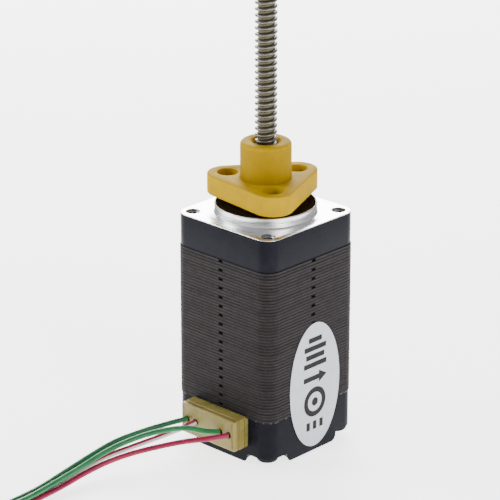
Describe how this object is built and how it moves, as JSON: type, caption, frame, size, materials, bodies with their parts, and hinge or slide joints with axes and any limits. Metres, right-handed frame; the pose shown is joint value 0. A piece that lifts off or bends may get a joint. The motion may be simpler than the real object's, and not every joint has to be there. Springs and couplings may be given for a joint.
{
  "type": "stepper motor with lead screw",
  "caption": "Small square hybrid stepper motor whose shaft is a long lead screw that drives a yellow flanged nut, with a plug and flying leads.",
  "frame": {"origin": "centre of the motor's rear face, on the shaft's axis", "axes": "+Z along the screw towards its free end, +X towards the oval label, -Y towards the connector"},
  "size_m": [0.0301, 0.0827, 0.1131],
  "materials": {
    "black_cap": "satin black paint over die-cast aluminium, machined bright on the mounting face",
    "laminations": "satin black, with fine steel lamination lines",
    "black_screw": "black oxide",
    "bright_steel": "ground and polished",
    "screw_steel": "stainless, rolled thread",
    "rotor_steel": "ground silicon steel",
    "magnet": "nickel plate",
    "spring_steel": "spring steel",
    "sleeve_brass": "turned",
    "cage_brass": "pressed",
    "nut_plastic": "satin yellow acetal",
    "frame_plastic": "natural nylon",
    "copper": "enamelled copper",
    "board": "solder mask",
    "connector_plastic": "translucent natural nylon",
    "pin_gold": "plated",
    "crimp_tin": "tin plated",
    "label_paper": "light grey label stock",
    "green_pvc": "satin insulation",
    "red_white_pvc": "satin insulation with a white stripe",
    "green_white_pvc": "satin insulation with a light stripe",
    "red_pvc": "satin insulation",
    "tie_plastic": "nylon"
  },
  "bodies": {
    "motor": {"rear_cap": "black_cap", "stator_stack": "laminations", "front_cap": "black_cap", "body_screws": "black_screw", "rear_insulator": "frame_plastic", "front_insulator": "frame_plastic", "phase_a_coils": "copper", "phase_b_coils": "copper", "rear_bearing_outer": "bright_steel", "rear_bearing_shields": "bright_steel", "wave_washer": "spring_steel", "front_bearing_outer": "bright_steel", "front_bearing_shields": "bright_steel", "circuit_board": "board", "connector_header": "connector_plastic", "header_pins": "pin_gold", "plug_housing": "connector_plastic", "crimp_terminals": "crimp_tin", "label": "label_paper", "lead_green": "green_pvc", "lead_red_white": "red_white_pvc", "lead_green_white": "green_white_pvc", "lead_red": "red_pvc", "lead_coil": "green_white_pvc", "coil_tie": "tie_plastic"},
    "rotor": {"lead_screw": "screw_steel", "rotor_cup_1": "rotor_steel", "rotor_cup_2": "rotor_steel", "rotor_cup_3": "rotor_steel", "rotor_cup_4": "rotor_steel", "rotor_magnet_1": "magnet", "rotor_magnet_2": "magnet", "rotor_spacer": "sleeve_brass", "rear_sleeve": "sleeve_brass", "front_sleeve": "sleeve_brass", "rear_bearing_inner": "bright_steel", "front_bearing_inner": "bright_steel"},
    "rear_ball_set": {"rear_bearing_balls": "bright_steel", "rear_bearing_cage": "cage_brass"},
    "front_ball_set": {"front_bearing_balls": "bright_steel", "front_bearing_cage": "cage_brass"},
    "nut": {"nut": "nut_plastic"}
  },
  "joints": [
    {"name": "rotor_spin", "type": "hinge", "parent": "motor", "child": "rotor", "pos_m": [0, 0, 0], "axis": [0, 0, 1], "range_deg": [-21600, 0]},
    {"name": "nut_travel", "type": "slide", "parent": "motor", "child": "nut", "axis": [0, 0, 1], "range_m": [0, 0.0601]},
    {"name": "rear_balls_roll", "type": "hinge", "parent": "motor", "child": "rear_ball_set", "pos_m": [0, 0, 0.0046], "axis": [0, 0, 1], "range_deg": [-8600, 100]},
    {"name": "front_balls_roll", "type": "hinge", "parent": "motor", "child": "front_ball_set", "pos_m": [0, 0, 0.0371], "axis": [0, 0, 1], "range_deg": [-8600, 100]}
  ],
  "couplings": [
    {"joint": "nut_travel", "follows": "rotor_spin", "m_per_rad": -0.00015915},
    {"joint": "rear_balls_roll", "follows": "rotor_spin", "ratio": 0.39091},
    {"joint": "front_balls_roll", "follows": "rotor_spin", "ratio": 0.39091}
  ]
}
